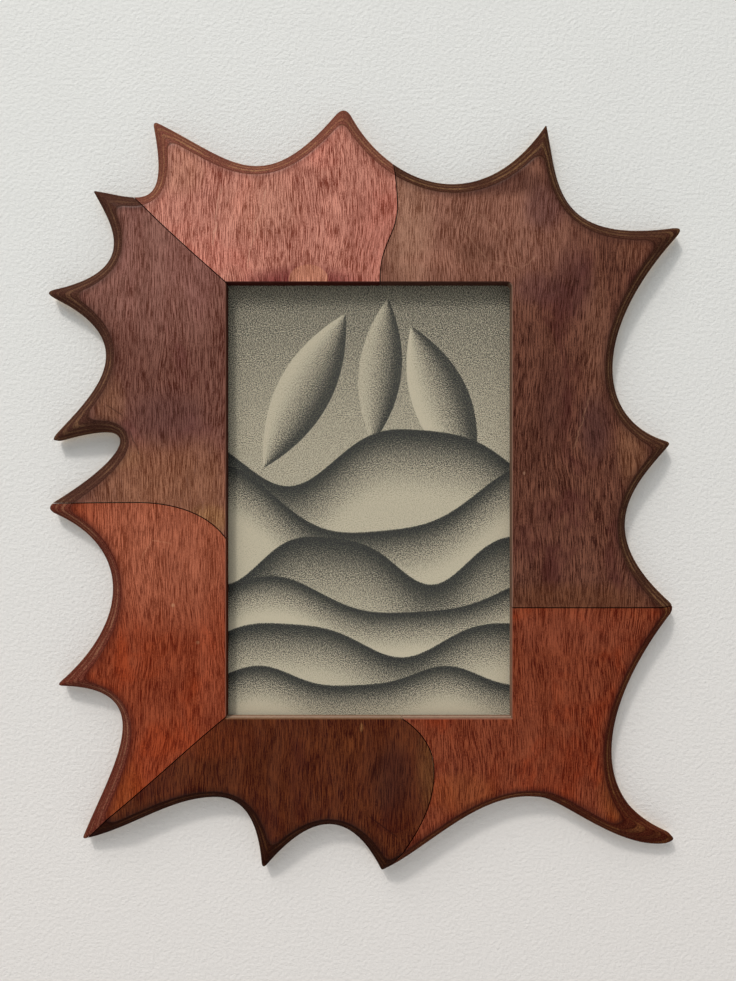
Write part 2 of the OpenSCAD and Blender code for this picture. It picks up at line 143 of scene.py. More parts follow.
class Wire:
    """An output socket of a node tree. Python's operators on it add Math nodes."""

    def __init__(self, graph, socket):
        self.graph = graph
        self.socket = socket

    def math(self, operation, *others):
        return self.graph.add("Math", [self, *others], operation=operation)

    def __rsub__(self, other):
        return self.graph.add("Math", [other, self], operation="SUBTRACT")

    def out(self, name):
        """Another output of the same node."""
        return Wire(self.graph, self.socket.node.outputs[name])

    __add__ = __radd__ = partialmethod(math, "ADD")
    __sub__ = partialmethod(math, "SUBTRACT")
    __mul__ = __rmul__ = partialmethod(math, "MULTIPLY")
    __truediv__ = partialmethod(math, "DIVIDE")
    __mod__ = partialmethod(math, "FLOORED_MODULO")
    __lt__ = partialmethod(math, "LESS_THAN")
    __abs__ = partialmethod(math, "ABSOLUTE")
    __neg__ = partialmethod(math, "MULTIPLY", -1.0)
    floor = partialmethod(math, "FLOOR")
    sine = partialmethod(math, "SINE")
    least = partialmethod(math, "MINIMUM")
    most = partialmethod(math, "MAXIMUM")


class Graph:
    """A node tree that is filled node by node."""

    def __init__(self, tree):
        self.tree = tree

    def add(self, kind, inputs=(), output=0, family="ShaderNode", **settings):
        """One node: its settings first, then a value, a wire or a list of wires for each of its sockets."""
        node = self.tree.nodes.new(family + kind)
        for key, value in settings.items():
            setattr(node, key, value)
        for key, value in inputs.items() if isinstance(inputs, dict) else enumerate(inputs):
            for one in value if isinstance(value, list) else [value]:
                if isinstance(one, Wire):
                    self.tree.links.new(one.socket, node.inputs[key])
                elif one is not None:
                    node.inputs[key].default_value = one
        return Wire(self, node.outputs[output]) if len(node.outputs) else node

    def vector(self, x, y, z):
        return self.add("CombineXYZ", [x, y, z])


SOCKETS = {
    "alpha": "Alpha",
    "coat": "Coat Weight",
    "coat_roughness": "Coat Roughness",
    "metallic": "Metallic",
    "specular": "Specular IOR Level",
}


class Finish(Graph):
    """A material whose pattern is written with wires.

    Its place is x, depth below the front face, and height above the middle of the opening.
    """

    def __init__(self, name):
        self.material = bpy.data.materials.new(name)
        self.material.use_nodes = True
        super().__init__(self.material.node_tree)
        self.tree.nodes.clear()
        metres = self.add("TexCoord", output="Object")
        grown = self.add("VectorMath", {0: metres, 3: 1 / MM}, operation="SCALE")
        x = self.add("SeparateXYZ", [grown])
        self.place = x, x.out("Y") + FRONT, x.out("Z") + HANG_DROP

    def noise(self, x, y, z, detail=3.0, roughness=0.5, distortion=0.0):
        sockets = {"Vector": self.vector(x, y, z), "Scale": 1.0, "Detail": detail, "Roughness": roughness}
        return self.add("TexNoise", {**sockets, "Distortion": distortion})

    def step(self, value, low, high, to_low=0.0, to_high=1.0):
        """A smooth rise from one level to another."""
        sockets = [value, low, high, to_low, to_high]
        return self.add("MapRange", sockets, interpolation_type="SMOOTHSTEP")

    def mix(self, factor, a, b):
        a, b = (c if isinstance(c, Wire) else (*c[:3], 1.0) for c in (a, b))
        return self.add("Mix", {0: factor, 6: a, 7: b}, output=2, data_type="RGBA")

    def tones(self, factor, colour, low, high):
        """Two shades of one colour, mixed."""
        return self.mix(factor, scaled(colour, *low), scaled(colour, *high))

    def spot(self, x, z, centre, radii, soft):
        """One inside an upright ellipse, falling to zero at its rim."""
        across = (x - centre[0]) / radii[0]
        upward = (z - centre[1]) / radii[1]
        return self.step(across * across + upward * upward, 1.0, 1.0 - soft)

    def stroke(self, x, z, start, end, width):
        """One along a straight scratch between two points."""
        dx, dz = end[0] - start[0], end[1] - start[1]
        length = hypot(dx, dz)
        along = ((x - start[0]) * (dx / length) + (z - start[1]) * (dz / length)) / length
        aside = abs((x - start[0]) * (-dz / length) + (z - start[1]) * (dx / length))
        taper = (along * (1.0 - along) * 4.0).most(0.0)
        return self.step(aside, width, 0.0) * self.step(taper, 0.0, 0.35)

    def surface(self, colour, roughness, bump=None, **others):
        """A principled shader. The bump is its height, strength and distance."""
        sockets = {"Base Color": colour, "Roughness": roughness}
        sockets.update((SOCKETS[key], value) for key, value in others.items())
        if bump:
            sockets["Normal"] = self.add("Bump", dict(zip(("Height", "Strength", "Distance"), bump)))
        return self.add("BsdfPrincipled", sockets)

    def show(self, shader):
        self.add("OutputMaterial", {"Surface": shader})
        return self.material

    def coat(self, *look, **others):
        """The finished material, from what surface() takes."""
        return self.show(self.surface(*look, **others))


# ---- the outline


def cubic(p, v):
    w = 1.0 - v
    return p[0] * w**3 + p[1] * (3 * w * w * v) + p[2] * (3 * w * v * v) + p[3] * v**3


def cubic_slope(p, v):
    w = 1.0 - v
    return (p[1] - p[0]) * (w * w) + (p[2] - p[1]) * (2 * w * v) + (p[3] - p[2]) * (v * v)


def half_turn(angle):
    """The same angle, between minus and plus half a turn."""
    return (angle + pi) % (2 * pi) - pi


class Run:
    """A run of cubic curves that share their end points."""

    def __init__(self, handles):
        self.handles = [Vector(p) for p in handles]
        self.pieces = (len(handles) - 1) // 3

    def _piece(self, t):
        k = min(int(t * self.pieces), self.pieces - 1)
        return self.handles[3 * k : 3 * k + 4], t * self.pieces - k

    def at(self, t):
        return cubic(*self._piece(t))

    def along(self, t):
        return cubic_slope(*self._piece(t)).normalized()

    def speed(self, end):
        """How far the run moves for each unit of t at its start (0) or its end (1)."""
        h = self.handles
        return 3 * self.pieces * (h[1] - h[0] if end == 0 else h[-1] - h[-2]).length


class Rim:
    """The spiked outline and the curves inside it, which round the foot of each spike's ridge."""

    def __init__(self, inset, ridge, shift):
        self.reach = inset + ridge
        self.shift = Vector(shift)
        self.count = len(SCALLOPS)
        tips = [row[0] for row in SCALLOPS]
        self.runs = [Run(list(row) + [tips[(s + 1) % self.count]]) for s, row in enumerate(SCALLOPS)]
        self.starts = [self._halve(s, 0.0) for s in range(self.count)]
        self.stops = [self._halve(s, 1.0) for s in range(self.count)]
        self.mids = [
            (self.within(s, self.starts[s]) + self.within(s - 1, self.stops[s - 1])) / 2 for s in range(self.count)
        ]

    def inward(self, s, t):
        d = self.runs[s].along(t)
        return Vector((d.y, -d.x))

    def within(self, s, t):
        return self.runs[s].at(t) + self.inward(s, t) * self.reach

    def _halve(self, s, end):
        """Where the curve inside this scallop is as far from the scallop beyond the tip."""
        beyond = self.runs[(s - 1 if end == 0 else s + 1) % self.count]
        near = [beyond.at(abs(1.0 - end - k / 60)) for k in range(31)]
        tip, valley = end, 0.5
        for _ in range(14):
            t = (tip + valley) / 2
            q = self.within(s, t)
            if min((q - p).length for p in near) < self.reach:
                tip = t
            else:
                valley = t
        return (tip + valley) / 2

    def inner(self, s, t, inset):
        """The point across from place t of scallop s, on the curve that lies inset from the outline."""
        a, b = self.starts[s], self.stops[s]
        if a <= t <= b:
            return self.runs[s].at(t) + self.inward(s, t) * inset + self.shift
        if t < a:
            mid, tip, foot, f = self.mids[s], self.runs[s].at(0.0), a, t / a
        else:
            mid, tip, foot, f = self.mids[(s + 1) % self.count], self.runs[s].at(1.0), b, (1.0 - t) / (1.0 - b)
        out = self.inward(s, foot)
        start = atan2(tip.y - mid.y, tip.x - mid.x)
        angle = start + half_turn(atan2(-out.y, -out.x) - start) * f
        way = Vector((cos(angle), sin(angle)))
        return mid.lerp(self.within(s, foot), f) + way * (self.reach - inset) + self.shift

    def outline(self, s, t, wear):
        """A place on the outline. The last bit of each spike is worn round."""
        run = self.runs[s]
        after = (s + 1) % self.count
        for end, beyond, tip in ((0.0, self.runs[s - 1], s), (1.0, self.runs[after], after)):
            here, worn = abs(t - end) * run.speed(end), wear * WEARS[tip]
            if here < worn:
                v = (1.0 + here / worn) / 2
                side = run.at(abs(end - worn / run.speed(end)))
                far = beyond.at(abs(1.0 - end - worn / beyond.speed(1.0 - end)))
                return far * (1.0 - v) ** 2 + run.at(end) * (2 * v * (1.0 - v)) + side * (v * v)
        return run.at(t)

    def stations(self, fine):
        """Places round the whole outline, close together at the tips."""
        crowding = 1.6
        places = []
        for s in range(self.count):
            a, b = self.starts[s], self.stops[s]
            n, e = (max(fine // 3, ceil(2.5 * fine * share)) for share in (a, 1.0 - b))
            m = fine * (1 + self.runs[s].pieces)
            places += [(s, a * (k / n) ** crowding) for k in range(n)]
            places += [(s, a + (b - a) * k / m) for k in range(m + 1)]
            places += [(s, 1.0 - (1.0 - b) * (1.0 - k / e) ** crowding) for k in range(1, e)]
        return places


# ---- meshes


def new_object(name, mesh):
    obj = bpy.data.objects.new(name, mesh)
    bpy.context.scene.collection.objects.link(obj)
    return obj


def new_mesh(name, points, edges=(), faces=()):
    mesh = bpy.data.meshes.new(name)
    mesh.from_pydata(points, edges, faces)
    return mesh


def poured(bm, mesh):
    """Moves the contents of a working mesh into a stored one."""
    bm.to_mesh(mesh)
    bm.free()
    return mesh


def terrace(name, rings):
    """A closed solid from outlines of as many points each, at rising heights, in millimetres."""
    n = len(rings[0][0])
    points = [Vector((p[0], p[1], z)) * MM for outline, z in rings for p in outline]
    faces = [tuple(reversed(range(n))), tuple(range(n * (len(rings) - 1), n * len(rings)))]
    for r in range(len(rings) - 1):
        for k in range(n):
            j = (k + 1) % n
            faces.append((n * r + k, n * r + j, n * (r + 1) + j, n * (r + 1) + k))
    mesh = new_mesh(name, points, faces=faces)
    bm = bmesh.new()
    bm.from_mesh(mesh)
    bmesh.ops.recalc_face_normals(bm, faces=bm.faces)
    return new_object(name, poured(bm, mesh))


def rounded_rectangle(half_w, half_h, radii, steps=8):
    """Anticlockwise from the lower right corner, one radius for each corner."""
    points = []
    for (sx, sy, first), r in zip(((1, -1, -90), (1, 1, 0), (-1, 1, 90), (-1, -1, 180)), radii):
        for k in range(steps + 1):
            a = radians(first + 90 * k / steps)
            points.append((sx * (half_w - r) + r * cos(a), sy * (half_h - r) + r * sin(a)))
    return points


def stadium(x, low, high, r, steps=24):
    """A slot with round ends, upright."""
    turns = [pi * k / steps for k in range(steps + 1)]
    top = [(x + r * cos(turn), high + r * sin(turn)) for turn in turns]
    return top + [(2 * x - px, low + high - py) for px, py in top]


def hung(points):
    """From the board's own millimetres to the row's frame."""
    return [Vector((p[0], -p[2], p[1] - HANG_DROP)) * MM for p in points]


def settle(obj, name):
    """The plain mesh that an object's modifiers make, in an object of its own."""
    bpy.context.view_layer.update()
    depsgraph = bpy.context.evaluated_depsgraph_get()
    mesh = bpy.data.meshes.new_from_object(obj.evaluated_get(depsgraph))
    mesh.name = name
    bpy.data.objects.remove(obj)
    return new_object(name, mesh)


def soften(obj, degrees):
    obj.data.shade_smooth()
    obj.data.set_sharp_from_angle(angle=radians(degrees))


def bevel_copy(node, name, width, segments=2, degrees=35):
    """A copy of a CAD node with its loose triangles merged and its edges eased."""
    bm = bmesh.new()
    bm.from_mesh(frame["nodes"][node].data)
    bmesh.ops.remove_doubles(bm, verts=bm.verts, dist=1e-6)
    bmesh.ops.dissolve_limit(
        bm, angle_limit=radians(0.5), verts=bm.verts, edges=bm.edges, use_dissolve_boundaries=False
    )
    obj = new_object(name + "_rough", poured(bm, bpy.data.meshes.new(name)))
    bevel = obj.modifiers.new("eased", "BEVEL")
    bevel.width = width * MM
    bevel.segments = segments
    bevel.limit_method = "ANGLE"
    bevel.angle_limit = radians(degrees)
    obj = settle(obj, name)
    soften(obj, degrees)
    return obj


def dress(obj, material, body, slot, *nodes):
    """Gives a finished piece its material and its body, and hides the CAD nodes that it stands for."""
    obj.data.materials.clear()
    obj.data.materials.append(material)
    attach(obj, body)
    if nodes:
        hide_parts(*nodes)


def finish_node(node, material):
    """Gives a CAD node that stays a better material."""
    mesh = frame["nodes"][node].data
    mesh.materials.clear()
    mesh.materials.append(material)


# ---- geometry trees


class Recipe(Graph):
    """A Geometry Nodes tree with named inputs, each given by its default or by its kind of socket."""

    def __init__(self, name, sockets):
        super().__init__(bpy.data.node_groups.new(name, "GeometryNodeTree"))
        face = self.tree.interface
        for way in ("OUTPUT", "INPUT"):
            face.new_socket(name="Geometry", in_out=way, socket_type="NodeSocketGeometry")
        self.ids = {}
        for label, default in sockets.items():
            kind = {float: "Float", int: "Int"}.get(type(default), default)
            socket = face.new_socket(name=label, in_out="INPUT", socket_type="NodeSocket" + kind)
            if kind != default:
                socket.default_value = default
            self.ids[label] = socket.identifier
        self.given = self.add("GroupInput", family="Node")

    def __getitem__(self, label):
        return self.given.out(label)

    def geo(self, kind, inputs=(), output=0, **settings):
        return self.add(kind, inputs, output, "GeometryNode", **settings)

    def mix_vector(self, factor, a, b):
        return self.add("Mix", {0: factor, 4: a, 5: b}, output=1, data_type="VECTOR")

    def finish(self, geometry):
        real = self.geo("RealizeInstances", [geometry])
        made = self.geo("SetMaterial", {"Geometry": real, "Material": self["Material"]})
        self.add("GroupOutput", [made], family="Node")

    def apply(self, obj, name, values):
        """Runs the tree on an object and returns the plain mesh."""
        modifier = obj.modifiers.new(self.tree.name, "NODES")
        modifier.node_group = self.tree
        for label, value in values.items():
            modifier[self.ids[label]] = value
        return settle(obj, name)


BOARD_SIZES = {"thickness": 0.015, "bevel_depth": 0.009, "bevel_belly": 0.48, "rings": 12, "face_rings": 3}
CUTTERS = ("joint", "opening", "left_recess", "right_recess")


def board_recipe():
    """Grows the bevelled board from its outline and cuts one panel out of it.

    Each point of the incoming loop carries the place of the flat face's edge across from it, and
    a place a little further in. The rings between them make the rim.
    """
    cutters = {name: "Object" for name in CUTTERS}
    g = Recipe("bevelled_board", {**BOARD_SIZES, **cutters, "Material": "Material"})
    loop = g["Geometry"]
    count = g.geo("AttributeDomainSize", [loop], component="MESH")
    columns = g["rings"] + g["face_rings"] + 2.0
    grid = g.geo("MeshGrid", {"Vertices X": count + 1.0, "Vertices Y": columns})
    index = g.geo("InputIndex")
    # The nudge is for whole quotients that come out a hair low
    turn = (index / columns + 0.0001).floor()
    row = turn % count
    column = index - turn * columns

    def across(attribute):
        return g.geo("SampleIndex", {"Geometry": loop, "Value": attribute, "Index": row}, data_type="FLOAT_VECTOR")

    def stored(name):
        return g.geo("InputNamedAttribute", {"Name": name}, data_type="FLOAT_VECTOR")

    outline = across(g.geo("InputPosition"))
    flat_edge = across(stored("flat_edge"))
    further_in = across(stored("further_in"))
    inward = (1.0 - (column - g["face_rings"]) / g["rings"]).most(0.0).least(1.0)
    deeper = (1.0 - column / g["face_rings"]).most(0.0)
    drop = g["bevel_depth"] * (1.0 - inward) * (1.0 - g["bevel_belly"] * inward)
    height = (g["thickness"] - drop) * (column < columns - 1.5)
    flat = g.mix_vector(deeper, g.mix_vector(inward, outline, flat_edge), further_in)
    lifted = g.add("VectorMath", [flat, g.vector(0.0, 0.0, height)], operation="ADD")
    rim = g.geo("SetPosition", {"Geometry": grid, "Position": lifted})

    def cap(place, lift):
        curve = g.geo("MeshToCurve", [g.geo("SetPosition", {"Geometry": loop, "Position": place})])
        filled = g.geo("FillCurve", {"Curve": curve}, mode="NGONS")
        return g.geo("Transform", {"Geometry": filled, "Translation": g.vector(0.0, 0.0, lift)})

    front = cap(stored("further_in"), g["thickness"])
    back = g.geo("FlipFaces", [cap(None, 0.0)])
    shell = g.geo("JoinGeometry", [[rim, front, back]])
    board = g.geo("MergeByDistance", {"Geometry": shell, "Distance": 2e-6})

    joint, *cuts = [g.geo("ObjectInfo", {"Object": g[name]}, output="Geometry") for name in CUTTERS]
    opened = g.geo("MeshBoolean", {0: board, 1: cuts}, operation="DIFFERENCE", solver="EXACT")
    panel = g.geo("MeshBoolean", {1: [opened, joint]}, operation="INTERSECT", solver="EXACT")
    turned = {"Geometry": panel, "Rotation": (pi / 2, 0.0, 0.0), "Translation": g.vector(0.0, 0.0, -HANG_DROP * MM)}
    g.finish(g.geo("Transform", turned))
    return g


def scatter_recipe():
    """Puts a copy of one object on every point of a mesh."""
    g = Recipe("one_on_each_point", {"Part": "Object", "Material": "Material"})
    part = g.geo("ObjectInfo", {"Object": g["Part"]}, output="Geometry")
    g.finish(g.geo("InstanceOnPoints", {"Points": g["Geometry"], "Instance": part}))
    return g


# ---- materials

Stain = namedtuple("Stain", "pale dark blotch ply_pale ply_dark pool lip arris blotches pooled marks")


def dyed(*values):
    """A panel's stain, with its marks last.

    Colours come first: fibres of the face, blotches, plies of the edge, the line where stain pooled, which also
    paints shade in the joints' grooves and in part on the deep plies, the walls of the opening, which carry painted
    shade on the top and left panels, and their arris. Then come the strengths of the blotches and of that line. A
    mark is a place, a spot's radii or a line's further points, a colour, a strength, and how soft a spot is if not
    wholly.
    """
    return Stain(*values[:10], values[10:])


# Clockwise: each panel lies between its joint and the next one
# The top, upper left and lower left panels' colours for the walls of the opening are painted dark as shade
STAINS = {
    "top_panel": dyed(
        (0.61, 0.265, 0.2), (0.295, 0.085, 0.058), (0.44, 0.115, 0.09), (0.4, 0.185, 0.095), (0.22, 0.07, 0.048),
        (0.105, 0.03, 0.02), (0.15, 0.035, 0.025), (0.3, 0.1, 0.085), 0.22, 0.6,
        ((8, 178), (30, 60), (0.5, 0.17, 0.13), 0.5),
        ((-75, 205), (36, 30), (0.66, 0.32, 0.23), 0.4),
        ((-47, 151), (52, 16), (0.24, 0.045, 0.045), 0.95),
        ((-42.3, 154.7), (14, 10.5), (0.66, 0.29, 0.19), 0.9, 0.12),
        ((-131, 232), (22, 24), (0.6, 0.3, 0.2), 0.5),
        ((-103.4, 222.5), ((-109.7, 177.1),), (0.72, 0.38, 0.27), 0.6),
        ((-71.3, 218.9), ((-81, 185), (-85.3, 161)), (0.72, 0.38, 0.27), 0.6),
    ),
    "right_panel": dyed(
        (0.183, 0.071, 0.044), (0.047, 0.012, 0.007), (0.055, 0.015, 0.013), (0.19, 0.095, 0.045),
        (0.075, 0.028, 0.017), (0.032, 0.009, 0.006), (0.2, 0.125, 0.085), (0.24, 0.13, 0.095), 0.75, 0.7,
        ((66, 195), (105, 80), (0.36, 0.17, 0.12), 0.85),
        ((28, 190), (22, 60), (0.46, 0.25, 0.17), 0.6),
        ((90, 222), (60, 12), (0.07, 0.022, 0.017), 0.6),
        ((62, 168), (50, 9), (0.42, 0.2, 0.14), 0.45),
        ((140, -70), (80, 16), (0.17, 0.062, 0.026), 0.6),
        ((184, 35), (14, 34), (0.3, 0.14, 0.075), 0.6),
        ((158, 52), (15, 32), (0.09, 0.036, 0.034), 0.7),
        ((122, 204), (18, 20), (0.13, 0.056, 0.058), 0.6),
        ((118, 148), (24, 15), (0.12, 0.046, 0.044), 0.6),
        ((75, 171), (20, 11), (0.15, 0.06, 0.036), 0.45),
        ((159, 116), (13, 62), (0.27, 0.125, 0.08), 0.5),
        ((143, 150), (19, 30), (0.095, 0.034, 0.033), 0.5),
        ((128, 66), (15, 44), (0.085, 0.028, 0.022), 0.5),
        ((65.3, 197.7), ((75.8, 201.2), (98.5, 182)), (0.4, 0.2, 0.13), 0.6),
        ((65.3, 190), ((82.8, 168), (105.5, 161.9), (117.8, 171.5)), (0.4, 0.2, 0.13), 0.6),
        ((154.4, 73.6), ((141.9, 35.2),), (0.36, 0.18, 0.11), 0.6),
        ((192, 176), (26, 20), (0.29, 0.13, 0.08), 0.5),
        ((108.5, 19), (1.3, 1.6), (0.45, 0.26, 0.18), 0.8),
    ),
    "lower_right_panel": dyed(
        (0.265, 0.063, 0.026), (0.118, 0.013, 0.002), (0.16, 0.018, 0.002), (0.2, 0.075, 0.026),
        (0.085, 0.017, 0.008), (0.036, 0.004, 0.002), (0.29, 0.17, 0.115), (0.25, 0.09, 0.055), 0.55, 0.85,
        ((140, -92), (70, 18), (0.31, 0.085, 0.045), 0.4),
        ((66, -205), (30, 20), (0.31, 0.085, 0.022), 0.45),
        ((180, -205), (24, 34), (0.3, 0.085, 0.014), 0.6),
    ),
    "bottom_panel": dyed(
        (0.128, 0.032, 0.009), (0.05, 0.005, 0.001), (0.034, 0.003, 0.001), (0.085, 0.03, 0.012),
        (0.032, 0.008, 0.004), (0.014, 0.002, 0.001), (0.33, 0.2, 0.13), (0.13, 0.05, 0.018), 0.6, 0.75,
        ((-112, -168), (46, 17), (0.23, 0.05, 0.014), 0.6),
        ((-5, -172), (42, 12), (0.17, 0.048, 0.014), 0.4),
        ((47, -186), (17, 46), (0.21, 0.09, 0.03), 0.5),
        ((15, -194), (20, 34), (0.06, 0.017, 0.009), 0.6),
        ((-5.2, -158.7), (1.6, 4), (0.3, 0.14, 0.05), 0.8),
        ((-1, -220), ((20.5, -236),), (0.012, 0.002, 0.001), 0.8),
    ),
    "lower_left_panel": dyed(
        (0.305, 0.066, 0.026), (0.16, 0.018, 0.002), (0.2, 0.024, 0.003), (0.31, 0.13, 0.075), (0.16, 0.04, 0.025),
        (0.06, 0.006, 0.003), (0.085, 0.02, 0.01), (0.36, 0.125, 0.08), 0.5, 0.85,
        ((-140, -30), (80, 75), (0.46, 0.145, 0.08), 0.95),
        ((-108, -110), (16, 60), (0.42, 0.105, 0.05), 0.45),
        ((-137, -73.3), (1.8, 1.8), (0.58, 0.27, 0.15), 0.8),
        ((-160, -42), ((-152, -28), (-138, -30)), (0.58, 0.22, 0.12), 0.6),
        ((-119.7, -99.2), (1.6, 1.6), (0.58, 0.27, 0.15), 0.8),
        ((-178, -205), (26, 36), (0.33, 0.075, 0.012), 0.5),
    ),
    "upper_left_panel": dyed(
        (0.218, 0.094, 0.07), (0.098, 0.031, 0.021), (0.105, 0.036, 0.033), (0.185, 0.09, 0.05),
        (0.082, 0.032, 0.022), (0.046, 0.016, 0.011), (0.075, 0.026, 0.018), (0.24, 0.1, 0.07), 0.6, 0.65,
        ((-150, 165), (70, 70), (0.35, 0.165, 0.135), 0.6),
        ((-140, 8), (75, 46), (0.34, 0.15, 0.085), 0.85),
        ((-112, -14), (20, 14), (0.46, 0.24, 0.1), 0.6),
        ((-178, 30), (26, 12), (0.38, 0.19, 0.1), 0.5),
        ((-182, 68), (15, 26), (0.32, 0.155, 0.085), 0.5),
        ((-141, 57), (34, 26), (0.115, 0.046, 0.044), 0.55),
        ((-184, 67), ((-173, 60),), (0.045, 0.018, 0.012), 0.8),
        ((-167, 49), ((-160, 31),), (0.045, 0.018, 0.012), 0.8),
    ),
}
STROKE_W = 0.8
PLY = 1.42
FIRST_PLY = 0.45


def scaled(colour, *factors):
    """A colour with its channels scaled, by one factor or by one each."""
    return [c * f for c, f in zip(colour, factors * 3)]


def stained_ply(name, stain):
    """Stained and waxed birch plywood: fibres on the face, plies on the edge with painted shade in the joints'
    grooves, on the deep plies and on the opening's top and left walls, and pale birch behind.
    """
    g = Finish(name)
    x, depth, z = g.place
    noise, step, mix, tones = g.noise, g.step, g.mix, g.tones

    sway = (noise(x * 0.012, 0, z * 0.007, 2) - 0.5) * 26.0
    fibre = noise(x * 1.75 + sway * 1.6, 0, z * 0.056, 2, 0.6)
    hair = noise(x * 2.9 + sway * 2.7, 4, z * 0.12, 1)
    fleck = noise(x * 2.1, 6, z * 0.8, 1)
    broad = noise(x * 0.07 + sway * 0.12, 9, z * 0.014, 3, 0.55)
    cloud = noise(x * 0.026, 2, z * 0.019, 4, 0.55, 0.8)

    streaks = step(fibre * 0.38 + hair * 0.36 + fleck * 0.14 + broad * 0.12, 0.446, 0.549)
    face = mix(streaks, scaled(stain.dark, 0.64, 0.42, 0.33), scaled(stain.pale, 1.2, 1.17, 1.15))
    clouded = tones(streaks, stain.blotch, (0.70, 0.46, 0.36), (1.8, 1.75, 1.7))
    face = mix(step(cloud, 0.47, 0.66) * stain.blotches, face, clouded)
    wobble = noise(x * 0.10, 5, z * 0.10, 3, 0.6) - 0.5
    bent = x + wobble * 7.0, z - wobble * 5.0
    for place, size, colour, strength, *soft in stain.marks:
        if isinstance(size[0], tuple):
            for start, end in zip((place, *size), size):
                line = g.stroke(*bent, start, end, STROKE_W)
                face = mix(line * (streaks * 0.6 + 0.4) * strength, face, colour)
        else:
            mask = g.spot(x, z, place, size, *(soft or [1.0]))
            face = mix(mask * strength, face, tones(streaks, colour, (0.38, 0.25, 0.19), (1.15, 1.12, 1.1)))
    pores = step(hair, 0.57, 0.68) * step(fibre, 0.60, 0.46)
    face = mix(pores * 0.45, face, scaled(stain.dark, 0.55))
    figure = step(abs((broad * 9.0) % 1.0 - 0.5), 0.10, 0.0) * step(cloud, 0.62, 0.40)
    face = mix(figure * 0.3, face, stain.pale)

    wander = noise(x * 0.11, depth * 0.5, z * 0.11, 3, 0.6) - 0.5
    ply = (depth - FIRST_PLY + wander * 0.9) / PLY
    level = abs(ply % 1.0 - 0.5)
    side_grain = noise(x * 0.5, depth * 3.2, z * 0.5, 4, 0.7)
    end_grain = noise(x * 2.2, depth * 2.2, z * 2.2, 3, 0.7)
    golden = tones(step(side_grain, 0.40, 0.62), stain.ply_pale, (0.55,), (1.2,))
    ruddy = tones(step(end_grain, 0.42, 0.60), stain.ply_dark, (0.6,), (1.3,))
    patchy = noise(x * 0.035, 3, z * 0.035, 3, 0.6)
    wood = mix((ply.floor() % 2.0) * step(patchy, 0.40, 0.58, 0.18, 1.0), ruddy, golden)
    wood = mix(step(level, 0.34, 0.48) * step(patchy, 0.62, 0.42, 0.35, 0.75), wood, stain.pool)
    # The plies darken towards the outline: partly stain, partly painted shade where the bevel turns away from the
    # front
    wood = mix(step(depth, 2.0, 7.5) * 0.45, wood, stain.pool)
    speck = noise(x * 1.2, depth * 1.6, z * 1.2, 2, 0.7)
    wood = mix(step(speck, 0.52, 0.40) * 0.55, wood, scaled(stain.pool, 0.55))
    wood = mix(step(speck, 0.56, 0.70) * 0.30, wood, scaled(stain.ply_pale, 1.25))
    edge = mix(step(depth + wander * 0.3, 0.12, 0.34), face, wood)
    inset = g.add("Attribute", output="Fac", attribute_name="from_edge")
    shallow = step(depth, 1.1, 0.3)
    line = step(inset + wander * 1.2, 1.0, 0.2) * shallow
    halo = step(inset + (cloud - 0.5) * 6.0, 5.2, 0.4) * shallow
    edge = mix((line * 0.8).most(halo * 0.6) * stain.pooled, edge, stain.pool)

    half_w, half_h = SIGHT_W / 2, SIGHT_H / 2
    beyond = (abs(x) - half_w).most(abs(z) - half_h)
    # The walls of the opening take their panel's colour, painted dark as shade on the top and left panels
    lip = tones(step(side_grain, 0.38, 0.62), stain.lip, (0.62,), (1.2,))
    lip = mix(step(level, 0.30, 0.46) * 0.5, lip, scaled(stain.lip, 0.45))
    pale_line = step(abs(depth - 4.6), 1.7, 0.5) * step(z, 1.0 - half_h, -half_h)
    lip = mix(pale_line * 0.7, lip, (0.50, 0.35, 0.27))
    opening = mix(step(depth, 0.5, 0.75), stain.arris, lip)
    # Painted shade: the top wall of the opening faces down, away from the lamps, and is painted near black
    opening = mix(step(z, half_h - 1.0, half_h) * 0.85, opening, (0.034, 0.008, 0.006))
    edge = mix(step(beyond, 0.78, 0.66) * step(depth, 0.02, 0.1), edge, opening)
    # Painted shade: the front of the joints' groove walls is painted near black, as the narrow grooves are shaded
    facing = g.add("SeparateXYZ", [g.add("NewGeometry", output="True Normal")]).out("Y")
    groove = step(abs(facing), 0.25, 0.10) * step(depth, 8.4, 7.6) * step(beyond, 0.8, 0.9)
    edge = mix(groove, edge, scaled(stain.pool, 0.25))
    raw = mix(step(fibre, 0.36, 0.64), (0.46, 0.33, 0.20), (0.64, 0.49, 0.32))
    raw = mix(step(cloud, 0.55, 0.72) * 0.3, raw, (0.42, 0.28, 0.16))
    colour = mix(step(depth, 14.5, 14.95), edge, raw)

    wax = step(broad, 0.35, 0.65, 0.10, 0.20) * step(depth, 0.6, 0.1) + 0.04
    height = fibre * 0.5 + hair * 0.5 - step(level, 0.36, 0.48) * 0.5 * step(depth, 0.2, 0.5)
    rough = step(fibre, 0.3, 0.7, 0.42, 0.56)
    return g.coat(colour, rough, (height, 0.45, 0.0005), specular=0.0, coat=wax, coat_roughness=0.38)


def plain_birch():
    g = Finish("plain_birch")
    x, depth, z = g.place
    fibre = g.noise(x * 0.5, depth * 2.0, z * 0.5, 4, 0.6)
    colour = g.mix(g.step(fibre, 0.35, 0.65), (0.55, 0.40, 0.25), (0.72, 0.57, 0.38))
    return g.coat(colour, 0.6, (fibre, 0.2, 0.0002))


def clear_glass():
    """Sheet glass that lets the picture through and keeps a thin gloss."""
    g = Finish("clear_glass")
    x, _, z = g.place
    smear = g.noise(x * 0.03, 0, z * 0.03, 2)
    gloss = g.step(smear, 0.3, 0.7, 0.02, 0.05)
    return g.coat((0.20, 0.24, 0.23, 1.0), gloss, alpha=0.02)


# Each pod: its middle, half its length and width, lean in degrees and the tone of its pale side
PODS = (
    ((-46, 78), (62, 19), 62, 0.06),
    ((8, 92), (52, 15), 84, 0.16),
    ((52, 70), (58, 20), 112, 0.02),
)
